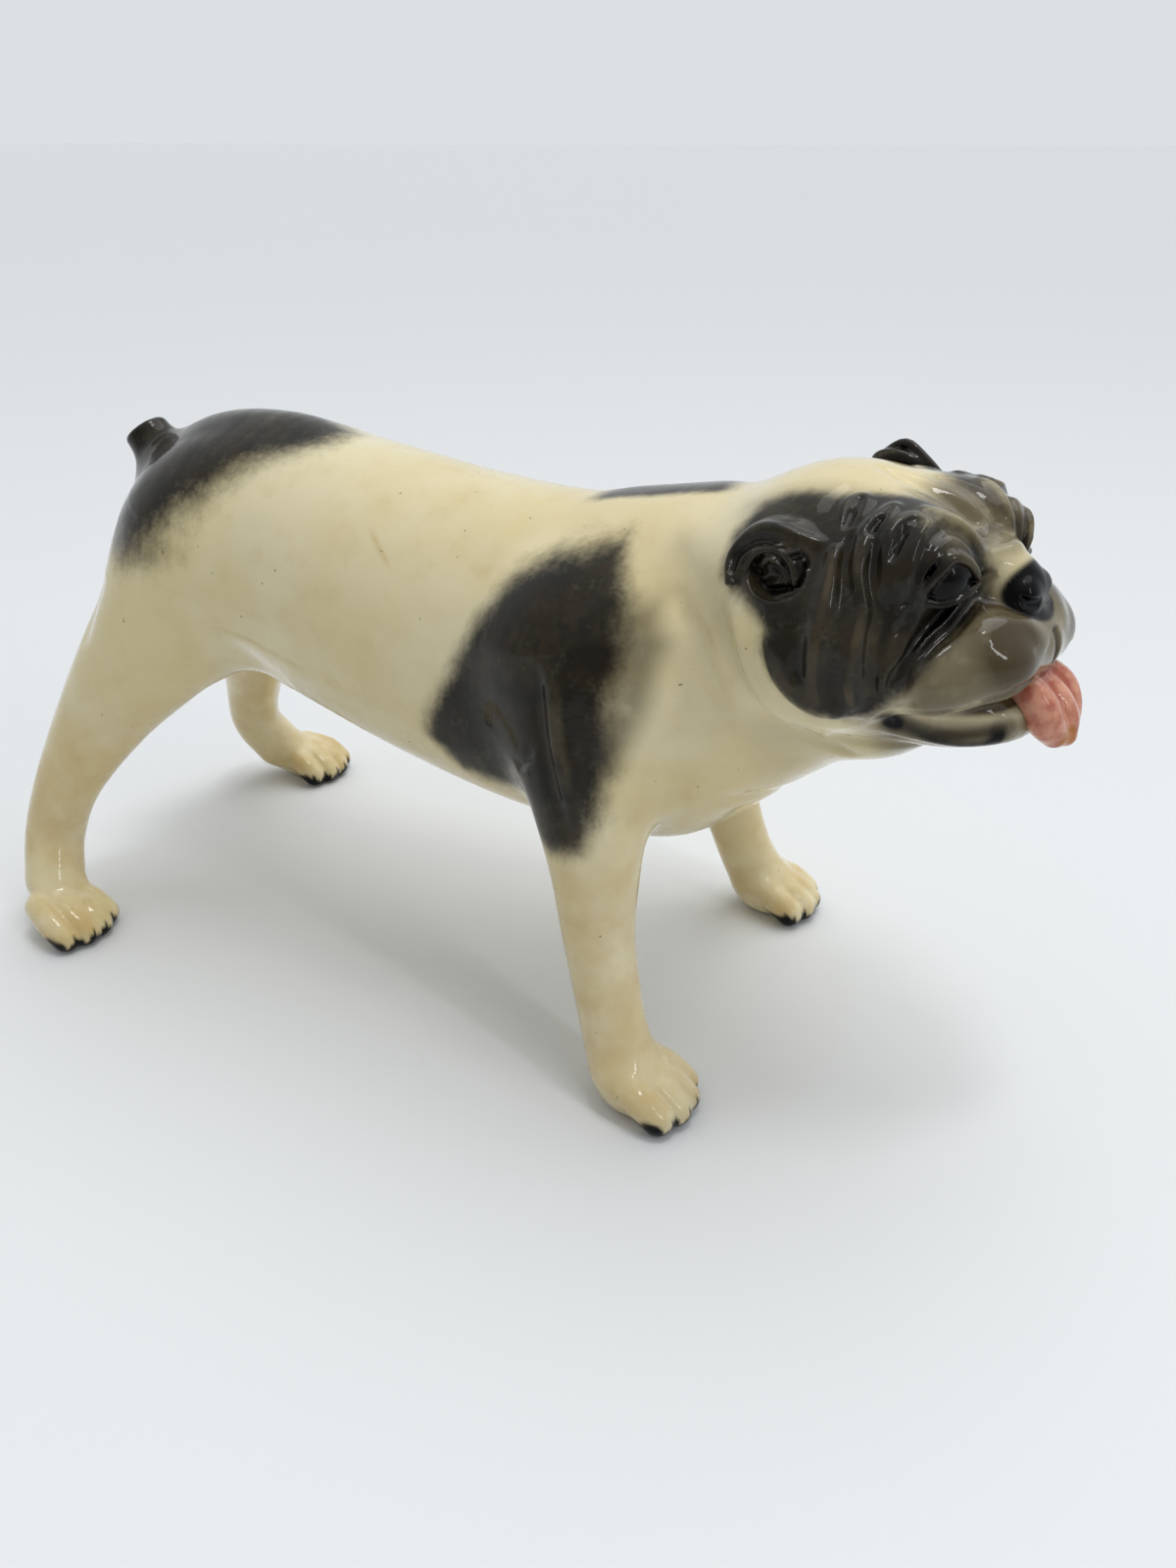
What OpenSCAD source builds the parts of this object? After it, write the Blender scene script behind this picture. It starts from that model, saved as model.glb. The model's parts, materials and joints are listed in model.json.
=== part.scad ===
// Glazed bulldog figurine that stands on four splayed legs, its head turned a little.
// It is slip-cast in ten pieces, which are joined with slip before the firing.
// +X is the way the body points, +Y is the dog's left side and +Z is up.
// The origin is on the ground, under the middle of the whole figurine.

/* [Stance] */
// Distance from the hind paws to the fore paws, along the body
wheelbase = 150; // [146:1:156]
// Distance between the middles of the two fore paws
fore_track = 82; // [78:1:86]
// Distance between the middles of the two hind paws
hind_track = 92; // [88:1:96]

/* [Body] */
// Height of the back over the hips
rump_height = 117; // [115:1:120]
// Width of the chest between the shoulders
chest_width = 68; // [64:1:72]
// Thickness of the cast wall of the torso and the head
wall = 3.5; // [3:0.5:4.5]
// Width of the air hole under the belly
air_hole_d = 3; // [2:0.5:3.5]

/* [Head] */
// Turn of the head to the dog's right, in degrees
head_turn = 10; // [4:1:14]
// Width of the skull over the cheeks
head_width = 62; // [60:1:65]
// How far the tongue hangs out past the lower lip
tongue_out = 9; // [7:1:11]

/* [Hidden] */

ivory = "#E6DCC0";
dark_brown = "#3A2E26";
pink = "#D08A78";

right = -1;
left = 1;
big = 200;

// Where the head's own frame starts: the middle of the skull
head_at = [wheelbase / 2 + 22, -4, rump_height - 19];
// The cut between the neck and the head leans back by this angle
neck_tilt = 19;
neck_cut_x = -4;

// The body's rows hold four shares each: place along the wheelbase, height of the back
// and of the belly over the rump's height, and half width over the chest's width.
BODY_ROWS = [
    [-0.505, 0.82, 0.76, 0.09],
    [-0.49, 0.89, 0.66, 0.21],
    [-0.44, 0.96, 0.58, 0.32],
    [-0.35, 0.99, 0.51, 0.39],
    [-0.24, 1.00, 0.47, 0.41],
    [-0.08, 0.98, 0.43, 0.43],
    [0.09, 0.94, 0.39, 0.46],
    [0.25, 0.92, 0.34, 0.50],
    [0.39, 0.94, 0.32, 0.50],
    [0.48, 0.96, 0.37, 0.46],
    [0.56, 0.99, 0.48, 0.42],
    [0.62, 1.03, 0.55, 0.38],
    [0.70, 1.02, 0.60, 0.34]];
body_sides = 36;
row_steps = 2;

// The legs' rows hold a place from the middle of the paw, x, y and z, and a radius.
// y is for the right leg, so a larger y is nearer to the body.
FORE_LEG_ROWS = [
    [-27, 21, 84, 17],
    [-22, 14, 64, 13],
    [-18, 9, 48, 9.2],
    [-15, 6, 33, 7.3],
    [-10.5, 3, 18, 6.7],
    [-7, 1, 9, 7]];
HIND_LEG_ROWS = [
    [29, 36, 88, 20],
    [19, 28, 72, 16],
    [5, 20, 53, 11.5],
    [-6, 13, 34, 8],
    [-10.5, 9, 20, 7.2],
    [-8, 4, 10, 7]];
leg_facets = 18;
big_ball_facets = 32;
small_ball_facets = 20;

// The tail's rows are the same, from the root of the tail
TAIL_ROWS = [
    [10, 0, -6, 8],
    [4, 0, 1, 6.2],
    [1, 0, 6, 5.3],
    [-1, 1, 10, 4.6]];
tail_at = [-wheelbase / 2 + 3, 0, rump_height - 17];

// Places along the body where the air hole and the middle of the figurine are
air_hole_x = 0;
front_reach = head_at.x + (31 + tongue_out) * cos(head_turn);
rear_reach = -wheelbase / 2 - 18.2;
middle = [(front_reach + rear_reach) / 2, 0, 0];

// A value between b and c on the smooth curve through a, b, c and d
function curve(a, b, c, d, t) =
    (2 * b + (c - a) * t + (2 * a - 5 * b + 4 * c - d) * t * t
     + (3 * b - a - 3 * c + d) * t * t * t) / 2;

// The rows with more rows between them, on smooth curves
function smooth(rows, steps) = let (last = len(rows) - 1) concat(
    [for (i = [0:last - 1]) for (k = [0:steps - 1])
        curve(i > 0 ? rows[i - 1] : 2 * rows[0] - rows[1], rows[i], rows[i + 1],
              i < last - 1 ? rows[i + 2] : 2 * rows[last] - rows[last - 1], k / steps)],
    [rows[last]]);

// The body's rows in millimetres, drawn in by the wall's thickness where it is inside
function body_rows(inset) = [for (r = smooth(BODY_ROWS, row_steps))
    [r[0] * wheelbase, r[1] * rump_height - inset, r[2] * rump_height + inset,
     r[3] * chest_width - inset]];

// Rows from first to last, as oval rings joined into one closed skin
module skin(rows) {
    points = [for (r = rows) for (s = [0:body_sides - 1]) let (angle = s * 360 / body_sides)
        [r[0], r[3] * cos(angle), (r[1] + r[2]) / 2 + (r[1] - r[2]) / 2 * sin(angle)]];
    rings = len(rows);
    sides = [for (i = [0:rings - 2]) for (s = [0:body_sides - 1])
        let (a = i * body_sides + s, b = i * body_sides + (s + 1) % body_sides)
        [a, a + body_sides, b + body_sides, b]];
    back_cap = [for (s = [0:body_sides - 1]) s];
    front_cap = [for (s = [body_sides - 1:-1:0]) (rings - 1) * body_sides + s];
    polyhedron(points, concat(sides, [back_cap, front_cap]));
}

// The outside of the body, from the rump to inside the head
module body_outside() skin(body_rows(0));

// The hollow inside the body, closed by the wall at the rump and at the neck
module body_hollow() {
    rows = body_rows(wall);
    skin([for (i = [2:len(rows) - 7]) rows[i]]);
}

// A chain of balls along the rows, each hulled to the next
module chain(rows, facets) {
    balls = smooth(rows, row_steps);
    for (i = [0:len(balls) - 2]) hull() {
        for (b = [balls[i], balls[i + 1]])
            translate([b[0], b[1], b[2]]) sphere(b[3], $fn = facets);
    }
}

// Moves its children into the head's own frame
module in_head() translate(head_at) rotate([0, 0, -head_turn]) children();

// Everything in front of the neck's cut
module before_neck() in_head() translate([neck_cut_x, 0, 0]) rotate([0, -neck_tilt, 0])
    translate([0, -big / 2, -big / 2]) cube(big);

// Everything under the ground
module ground() translate([-big, -big, -big]) cube([2 * big, 2 * big, big]);

// Four toes over a pad, with the middle of the paw at the origin
module paw() {
    toe_r = 3.6;
    toe_gap = 4.2;
    for (i = [0:3]) {
        side = i - 1.5;
        toe_x = abs(side) < 1 ? 6.4 : 4.4;
        hull() {
            translate([toe_x, side * toe_gap, 3]) sphere(toe_r, $fn = leg_facets);
            translate([-2, side * 3, 6]) sphere(4.6, $fn = leg_facets);
        }
    }
    hull() {
        translate([-4, 0, 3.5]) sphere(6.5, $fn = leg_facets);
        translate([2, 0, 3]) sphere(7.5, $fn = leg_facets);
    }
}

// A leg with its paw at [x, side * track / 2], coped to the body and flat underneath
module leg(rows, x, track, side) {
    color(ivory) difference() {
        translate([x, side * track / 2, 0]) {
            mirror([0, side > 0 ? 1 : 0, 0]) chain(rows, leg_facets);
            paw();
        }
        body_outside();
        ground();
    }
}

// The hollow body from the rump to the neck's cut, with the air hole
module torso() {
    color(ivory) difference() {
        body_outside();
        body_hollow();
        before_neck();
        translate([air_hole_x, 0, 0]) cylinder(d = air_hole_d, h = rump_height / 2, $fn = 32);
    }
}

// A ball in the head's frame
module ball(at, r) translate(at)
    sphere(r, $fn = r > 8 ? big_ball_facets : small_ball_facets);

// The balls under the skull, the cheeks and the brows, drawn in by inset
module skull_balls(inset) {
    cheek_y = head_width / 2 - 13;
    ball([-2, 0, 1], 23 - inset);
    for (side = [right, left]) {
        ball([1, side * cheek_y, -2], 13 - inset);
        ball([-1, side * 15, 9], 12 - inset);
        ball([14, side * 12, 12], 9.5 - inset);
        ball([12, side * 14, -9], 9 - inset);
    }
}

// The muzzle: two hanging flews, the bridge of the nose and the nose itself
module muzzle() {
    for (side = [right, left]) {
        hull() {
            ball([24, side * 8, -1], 8.5);
            ball([18, side * 15, -5], 7.5);
            ball([12, side * 17, -10], 6);
        }
        hull() {
            ball([20, side * 10, 12], 7);
            ball([8, side * 17, 14], 9);
        }
    }
    hull() {
        ball([15, 0, 8], 7);
        ball([26, 0, 5], 5.5);
    }
    hull() for (side = [right, left]) ball([28, side * 2.5, 6], 3.8);
}

// The undershot jaw, with its lower lip
module jaw() {
    hull() for (side = [right, left]) {
        ball([25, side * 7, -15], 6);
        ball([8, side * 15, -13], 7);
    }
    hull() for (side = [right, left]) ball([27, side * 6, -12], 4);
}

// Everything the head's outside is made of
module head_outside() {
    in_head() {
        hull() skull_balls(0);
        muzzle();
        jaw();
    }
    body_outside();
}

// The head in front of the neck's cut, hollow and open towards the neck
module head() {
    color(ivory) difference() {
        intersection() {
            head_outside();
            before_neck();
        }
        in_head() hull() skull_balls(wall);
    }
}

// A small folded ear, laid on the side of the skull and coped to it
module ear(side) {
    ear_y = head_width / 2 - 4.5;
    color(dark_brown) difference() {
        in_head() {
            hull() {
                ball([4, side * (ear_y - 4), 20], 2.6);
                ball([-4, side * (ear_y - 2), 21], 3);
                ball([-3, side * (ear_y + 2), 13], 2.8);
            }
            hull() {
                ball([-4, side * (ear_y - 2), 21], 3);
                ball([-10, side * (ear_y - 3), 15], 2.6);
                ball([-6, side * (ear_y + 3), 10], 2.4);
            }
        }
        in_head() hull() skull_balls(0);
        body_outside();
        behind_neck();
    }
}

// Everything behind the neck's cut
module behind_neck() in_head() translate([neck_cut_x, 0, 0])
    rotate([0, -neck_tilt, 0]) translate([-big, -big / 2, -big / 2]) cube(big);

// The tail, coped to the rump
module tail() {
    color(dark_brown) difference() {
        translate(tail_at) chain(TAIL_ROWS, leg_facets);
        body_outside();
    }
}

// The tongue, which curls out over the lower lip
module tongue() {
    reach = 31 + tongue_out - 2.4;
    color(pink) difference() {
        in_head() {
            hull() for (y = [-2, 3]) {
                ball([24, y, -7], 2.6);
                ball([reach - 4, y, -7], 2.6);
            }
            hull() for (y = [-2, 3]) {
                ball([reach - 4, y, -7], 2.6);
                ball([reach, y * 0.6, -13], 2.4);
            }
            hull() for (y = [-2, 2]) {
                ball([reach, y * 0.6, -13], 2.4);
                ball([reach - 0.5, y * 0.4, -17], 2);
            }
        }
        in_head() {
            muzzle();
            jaw();
        }
    }
}

translate(-middle) {
    torso();
    head();
    leg(FORE_LEG_ROWS, wheelbase / 2, fore_track, right);  // fore_leg_right
    leg(FORE_LEG_ROWS, wheelbase / 2, fore_track, left);  // fore_leg_left
    leg(HIND_LEG_ROWS, -wheelbase / 2, hind_track, right);  // hind_leg_right
    leg(HIND_LEG_ROWS, -wheelbase / 2, hind_track, left);  // hind_leg_left
    tail();
    ear(right);  // ear_right
    ear(left);  // ear_left
    tongue();
}
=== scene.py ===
import functools
import json
import math
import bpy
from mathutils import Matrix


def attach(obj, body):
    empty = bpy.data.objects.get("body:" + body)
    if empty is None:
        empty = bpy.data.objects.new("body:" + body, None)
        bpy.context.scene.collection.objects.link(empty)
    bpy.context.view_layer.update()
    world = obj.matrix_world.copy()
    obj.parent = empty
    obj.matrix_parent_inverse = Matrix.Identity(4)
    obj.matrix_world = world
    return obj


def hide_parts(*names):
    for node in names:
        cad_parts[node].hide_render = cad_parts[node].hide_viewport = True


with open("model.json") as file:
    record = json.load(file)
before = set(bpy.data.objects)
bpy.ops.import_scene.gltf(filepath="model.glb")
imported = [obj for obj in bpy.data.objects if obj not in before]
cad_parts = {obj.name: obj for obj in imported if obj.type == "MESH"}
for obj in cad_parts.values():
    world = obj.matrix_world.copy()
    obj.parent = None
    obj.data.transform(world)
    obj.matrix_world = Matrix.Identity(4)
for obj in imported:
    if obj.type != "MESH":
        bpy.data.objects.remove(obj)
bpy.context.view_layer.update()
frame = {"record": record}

from concurrent.futures import ThreadPoolExecutor

import bpy
import numpy as np
from mathutils import Vector

MM = 0.001
FAR = 14  # A shape this far from all the points of a block is taken as a plain ball


def paws_middle():
    """The point on the ground between the four paws, from the record's resting faces."""
    soles = [m["pos_m"] for m in frame["record"]["mounts"]]
    return Vector([sum(s[i] for s in soles) / len(soles) for i in range(3)])


ORIGIN = paws_middle()


# ---- Distance fields: every function takes points as a (3, N) array in millimetres ----

def column(values):
    return np.asarray(values, np.float32).reshape(3, 1)


def length(q):
    return np.sqrt(q[0] * q[0] + q[1] * q[1] + q[2] * q[2])


def blend(a, b, width):
    """The union of two fields, with a soft fillet of that width."""
    share = np.clip(0.5 + 0.5 * (b - a) / width, 0, 1)
    return b + (a - b) * share - width * share * (1 - share)


def carve(a, b, width):
    """Field a with b cut out of it, with a soft edge of that width."""
    return -blend(-a, b, width)


def turn(axis, degrees):
    """A rotation matrix about x, y or z."""
    c, s = math.cos(math.radians(degrees)), math.sin(math.radians(degrees))
    rows = {"x": [[1, 0, 0], [0, c, -s], [0, s, c]],
            "y": [[c, 0, s], [0, 1, 0], [-s, 0, c]],
            "z": [[c, -s, 0], [s, c, 0], [0, 0, 1]]}
    return np.array(rows[axis], np.float32)


def ball_gap(P, centre, reach):
    """How far the nearest of the points may be from that ball, from the points' own box."""
    centre = np.asarray(centre, np.float32)
    gap = np.maximum(np.maximum(P.min(1) - centre, centre - P.max(1)), 0)
    return math.sqrt(float((gap * gap).sum())) - reach


def egg(P, centre, radii, pitch=0, yaw=0, roll=0):
    """An ellipsoid. Pitch lifts its front, yaw turns it to the left, roll lifts its left."""
    if ball_gap(P, centre, max(radii)) > FAR:
        return length(P - column(centre)) - np.float32(max(radii))
    q = P - column(centre)
    if pitch or yaw or roll:
        q = (turn("z", yaw) @ turn("y", -pitch) @ turn("x", roll)).T @ q
    radii = column(radii)
    near, steep = length(q / radii), length(q / (radii * radii)) + np.float32(1e-9)
    return near * (near - 1) / steep


@functools.lru_cache(maxsize=None)
def smooth_rows(rows, steps=4):
    """The rows with more rows between them, on Catmull-Rom curves."""
    p = np.asarray(rows, float)
    p = np.vstack([2 * p[0] - p[1], p, 2 * p[-1] - p[-2]])
    out = []
    for a, b, c, d in zip(p[:-3], p[1:-2], p[2:-1], p[3:]):
        t = np.linspace(0, 1, steps, endpoint=False)[:, None]
        out.append(0.5 * (2 * b + (c - a) * t + (2 * a - 5 * b + 4 * c - d) * t ** 2
                          + (3 * b - a - 3 * c + d) * t ** 3))
    return np.vstack(out + [p[-2][None]]).astype(np.float32)


def along(P, a, b):
    """How far along the segment from a to b each point lies, 0 to 1, and its offset."""
    v = b[:3] - a[:3]
    inverse = np.float32(1 / max(float(v @ v), 1e-9))
    x, y, z = P[0] - a[0], P[1] - a[1], P[2] - a[2]
    t = np.clip((x * v[0] + y * v[1] + z * v[2]) * inverse, 0, 1)
    return t, x - t * v[0], y - t * v[1], z - t * v[2]


def nearest_parts(P, rows):
    """The numbers of the segments that may be the nearest one to any of the points."""
    a, b = rows[:-1], rows[1:]
    middle = (a[:, :3] + b[:, :3]) / 2
    half = np.sqrt(((b[:, :3] - a[:, :3]) ** 2).sum(1)) / 2
    low, high = P.min(1), P.max(1)
    inner = np.maximum(np.maximum(low - middle, middle - high), 0)
    outer = np.maximum(middle - low, high - middle)
    least = np.sqrt((inner ** 2).sum(1)) - half - np.maximum(a[:, 3], b[:, 3])
    most = np.sqrt((outer ** 2).sum(1)) + half - np.minimum(a[:, 3], b[:, 3])
    return np.flatnonzero(least <= most.min()), float(least.min())


def tube(P, rows, steps=10):
    """A round tube along rows of x, y, z and radius."""
    s = smooth_rows(tuple(rows), steps)
    parts, gap = nearest_parts(P, s)
    if gap > FAR:
        near = s[parts[0]]
        return length(P - column(near[:3])) - near[3]
    out = None
    for i in parts:
        a, b = s[i], s[i + 1]
        t, x, y, z = along(P, a, b)
        d = np.sqrt(x * x + y * y + z * z) - (a[3] + t * (b[3] - a[3]))
        out = d if out is None else np.minimum(out, d)
    return out


# ---- The dog, in millimetres, from the point on the ground between its four paws ----

HEAD_AT = (97, -4, 98)
HEAD_TURN = -10

TRUNK = [(-49, 0, 84.5, 25), (-36, 0, 88.6, 28.2), (-14, 0, 84, 30), (14, 0, 78, 32),
         (40, 0, 75, 33.5), (58, 0, 77.5, 33.5), (70, 0, 83.5, 29.6)]
NECK = [(58, 0, 81, 27), (78, -1, 86, 25.8), (95, -3, 92, 23)]
FORE_LEG = [(49, 20, 84, 17), (55, 27, 64, 12.6), (58.3, 31.5, 48, 9), (60.6, 34.3, 33, 7.1),
            (64.6, 37, 18, 6.5), (68, 39, 9, 6.8)]
HIND_LEG = [(-46, 10, 88, 20), (-56, 18, 72, 16), (-70, 26, 53, 11), (-81, 33, 34, 7.6),
            (-85.5, 37, 20, 6.8), (-83, 42, 10, 6.8)]
CROUP = [(-32, 0, 98.6, 16), (-46, 0, 99.2, 15.6), (-57, 0, 97.4, 13)]
BRISKET = [(46, 0, 58, 15), (60, -1, 56.5, 14.5)]
TAIL = [(-59, 0, 96, 10), (-64.5, 0, 101.5, 7), (-69, 0, 106, 5), (-74, 0, 112.5, 5.2)]
TAIL_END = (-72.6, 0, 110.6)


def mirrored(P):
    """The points folded to the left side, for what is the same on both sides."""
    return np.stack([P[0], np.abs(P[1]), P[2]])


def in_head(P):
    """The points in the head's own frame: x to the nose, y to its left ear, z up."""
    return turn("z", HEAD_TURN).T @ (P - column(HEAD_AT))


def paw(Q, x, y):
    """A pad with four toes, which reach a little past it."""
    d = egg(Q, (x - 2.5, y, 4.6), (8, 7.4, 5.6))
    for side in (-1.5, -0.5, 0.5, 1.5):
        reach = 6.5 if abs(side) < 1 else 4.5
        toe = tube(Q, [(x - 6, y + side * 2.6, 7.6, 3.2), (x + reach - 4.5, y + side * 3.9, 5.8, 3.4),
                       (x + reach - 0.6, y + side * 4.1, 3.2, 3.2)], 2)
        d = blend(d, toe, 0.9)
    return d


def trunk(P):
    q = np.stack([P[0], P[1] / np.float32(0.95), P[2]])
    ridge_of_back = np.stack([P[0], P[1] / np.float32(0.62), P[2]])
    return blend(tube(q, TRUNK), tube(ridge_of_back, CROUP), 7)


def tail(P):
    """The docked tail: a stub that flares into the rump, cut off flat at its end."""
    past_end = (-0.6 * (P[0] - TAIL_END[0]) + 0.8 * (P[2] - TAIL_END[2])).astype(np.float32)
    return carve(tube(P, TAIL), -past_end, 1.2)


def body(P):
    Q = mirrored(P)
    d = trunk(P)
    d = blend(d, tube(P, NECK), 6)
    fore = blend(tube(Q, FORE_LEG, 20), paw(Q, 75, 39.6), 4)
    d = blend(d, fore, 8)
    hind = blend(tube(Q, HIND_LEG, 20), paw(Q, -73.5, 46.8), 4)
    d = blend(d, hind, 10)
    d = blend(d, tube(P, BRISKET), 9)
    return blend(d, tail(P), 8)


EYE_AT, EYE_SIZE = (18.6, 13.6, 10.6), 4.7

# Each ear's rim runs from the temple, over the top and round the back to the hanging tip
EAR_RIM = [(2, 20.8, 14.2, 0.7), (-2, 22, 15.4, 0.9), (-6, 22, 15.9, 1.1), (-9.3, 22, 15.2, 1.1),
           (-11.8, 23, 12.9, 1.0), (-12.6, 24.6, 10.2, 1.0), (-11.6, 26.6, 7.2, 0.9)]
EAR_LIP = [(-10.8, 25.6, 8.4, 0.7), (-10.8, 24.2, 10.8, 0.8), (-9.2, 23.2, 12.6, 0.7),
           (-6.6, 23, 13.5, 0.7), (-3.4, 23.4, 13.1, 0.7), (-1, 23.8, 11.4, 0.7), (0, 24, 9, 0.8)]
FAR_EAR_RIM = [(4.5, 20, 17.2, 0.8), (0.2, 20.8, 20.2, 0.9), (-4, 21.6, 22.2, 0.9), (-8, 22.2, 19.4, 1.0),
               (-11, 23, 14.8, 1.0), (-12.6, 24.6, 11, 1.0), (-11.6, 26.6, 7.5, 0.9)]
LOWER_LIP = [(13, 17.5, -12.8, 3), (19, 16, -12.6, 3.7), (25, 12.6, -13, 4.1), (30, 7.5, -13.2, 3.8),
             (31.5, 0, -14.2, 3.4)]


def skull(L):
    """The skull, cheeks and brows, which the ears sit on."""
    Q = mirrored(L)
    d = egg(L, (-3, 0, 2), (24, 27, 21))
    d = blend(d, egg(Q, (2, 19, -3), (17, 12, 14)), 8)
    return blend(d, egg(Q, (13, 11, 12), (10, 11, 8)), 7)


def ear(Q, rim, flap):
    """One folded ear: its mound and flap, its thin rim and the lip inside the rim."""
    d = egg(Q, (-5, 21, 10.8), (8, 4.2, 5.6), pitch=-22, roll=20)
    d = blend(d, egg(Q, flap, (6.5, 2.2, 4.4), pitch=-10, roll=25), 2)
    d = blend(d, tube(Q, rim, 4), 0.8)
    return blend(d, tube(Q, EAR_LIP, 4), 0.5)


def ears(L):
    """Both ears, without their hollows."""
    right = ear(L * column((1, -1, 1)), EAR_RIM, (-4.5, 21, 12.5))
    left = ear(L, FAR_EAR_RIM, (-3.8, 21.2, 17.2))
    return np.minimum(right, left)


def ear_hollows(L):
    Q = mirrored(L)
    d = egg(Q, (-3.9, 26.4, 10.4), (5.5, 4.7, 4.3), pitch=-18)
    return np.minimum(d, tube(Q, EAR_SLIT, 4))


EAR_SLIT = [(-11.6, 26.2, 9.4, 0.5), (-11.4, 24.8, 11.8, 0.8), (-9.2, 24, 14, 0.9), (-6.2, 24, 14.7, 0.9),
            (-3, 24.4, 14.3, 0.8), (-0.3, 24.2, 12.2, 1.1), (0.8, 24, 10.3, 0.7)]


def ear_crumple(L):
    """The crumpled skin inside the ear."""
    Q = mirrored(L)
    d = egg(Q, (-3.9, 22.4, 9.8), (5.4, 2.8, 4.2), pitch=-18)
    if ball_gap(P=Q, centre=(-4, 24, 10), reach=7) > 0:
        return d
    round_hole = length(Q - column((-5.5, 24, 8.2))) + 0.6 * np.sin(1.1 * Q[0] + 0.9 * Q[2])
    d = d - 0.5 * np.sin(2.2 * round_hole) - 0.3 * np.sin(1.5 * (Q[0] - Q[2]) + 1.6 * np.sin(1.2 * Q[2]))
    return np.minimum(d, tube(Q, [(-7.8, 25.2, 6, 0.9), (-4, 25.6, 5.2, 1.1), (0, 24.6, 7, 1.1)], 3))


def eyes(Q):
    return egg(Q, EYE_AT, (EYE_SIZE, EYE_SIZE, EYE_SIZE))


def head(L):
    """The head without its folds, in its own frame."""
    Q = mirrored(L)
    d = skull(L)
    d = blend(d, egg(L, (5, -2, -18), (13, 14, 9)), 8)
    d = blend(d, egg(L, (24, 0, -2), (11, 9, 8)), 5)
    d = blend(d, egg(Q, (23.5, 9, -2.5), (11, 10, 8)), 4)
    d = blend(d, egg(Q, (19, 17, -5), (9, 7, 6)), 4)
    d = blend(d, egg(L, (22, 0, 9), (7, 6, 5)), 4)
    d = blend(d, egg(L, (14, 0, -15.5), (19, 16, 6)), 3)
    return blend(d, tube(Q, LOWER_LIP, 4), 1.5)


def face(L):
    """The head with its folds, eyes, lids, nose and nostrils."""
    Q = mirrored(L)
    d = head(L) - raised(Q, FACE_FOLDS)
    d = blend(d, egg(L, (27, 0, 6.4), (4.4, 5.4, 5)), 1.4)
    d = blend(d, egg(Q, (29, 2.8, 6.2), (2.4, 2.9, 3.4)), 0.9)
    d = carve(d, tube(Q, NOSTRIL, 4), 0.6)
    d = carve(d, egg(Q, (21.8, 16.2, 11), (4.2, 4.8, 4), yaw=35), 1.2)
    lids = np.minimum(tube(Q, UPPER_LID, 5), tube(Q, LOWER_LID, 5))
    d = blend(d, lids, 0.9)
    d = blend(d, eyes(Q), 0.4)
    d = blend(d, ears(L), 1.2)
    d = carve(d, ear_hollows(L), 0.7)
    d = blend(d, ear_crumple(L), 0.5)
    return blend(d, tube(Q, EAR_RING, 4), 0.4)


EAR_RING = [(-9.4, 25.4, 9.6, 0.5), (-8.2, 24.6, 12.2, 0.6), (-5.2, 24.2, 13.2, 0.6),
            (-2, 24.4, 11.8, 0.6), (-0.6, 24.8, 8.6, 0.6)]
NOSTRIL = [(31.8, 2.9, 5.8, 1.0), (30.4, 5, 6.2, 0.8), (28.8, 6.2, 7.6, 0.4)]
UPPER_LID = [(16, 17.5, 6.8, 0.7), (18.3, 18.6, 9.6, 0.8), (19.8, 18.1, 12.4, 0.9), (21, 16, 14.6, 1.0),
             (22.6, 14, 14, 0.9), (23.6, 12, 11.8, 0.8), (23.8, 10.8, 10, 0.6)]
LOWER_LID = [(16, 17.5, 6.8, 0.7), (18.6, 18.2, 7.8, 0.8), (20.4, 17.4, 7.5, 0.8), (21.8, 16.2, 7.8, 0.8),
             (23.4, 13.4, 9, 0.8), (23.8, 10.8, 10, 0.6)]


def out_of_head(L):
    return turn("z", HEAD_TURN) @ L + column(HEAD_AT)


def plain_dog(P):
    """The whole dog before any folds, which the folds are laid on."""
    return blend(body(P), head(in_head(P)), 5)


def dog(P):
    L = in_head(P)
    d = blend(body(P), face(L), 5)
    d = d - raised(mirrored(L), NECK_FOLDS) - raised(P, BODY_FOLDS)
    return np.maximum(d, -P[2])


# The tongue: a middle, and an edge down each side that stands up from it
TONGUE = [(25, 0, -8.3, 3.2), (31, 0, -8.5, 3.2), (35, 0, -10.2, 3), (37.4, 0, -13, 2.8),
          (38.6, -0.5, -16, 2)]
TONGUE_EDGE = [(25, 3.6, -8.4, 2.8), (31, 4.2, -8, 2.9), (34.4, 5, -9.8, 3.1), (36.2, 4.6, -12.8, 3),
               (37.4, 2.6, -15.4, 2.4)]


def tongue_only(P):
    L = in_head(P)
    return blend(tube(L, TONGUE, 5), tube(mirrored(L), TONGUE_EDGE, 5), 1.0)


# ---- Folds and creases: soft grooves and ridges drawn along paths on the surface ----

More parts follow.
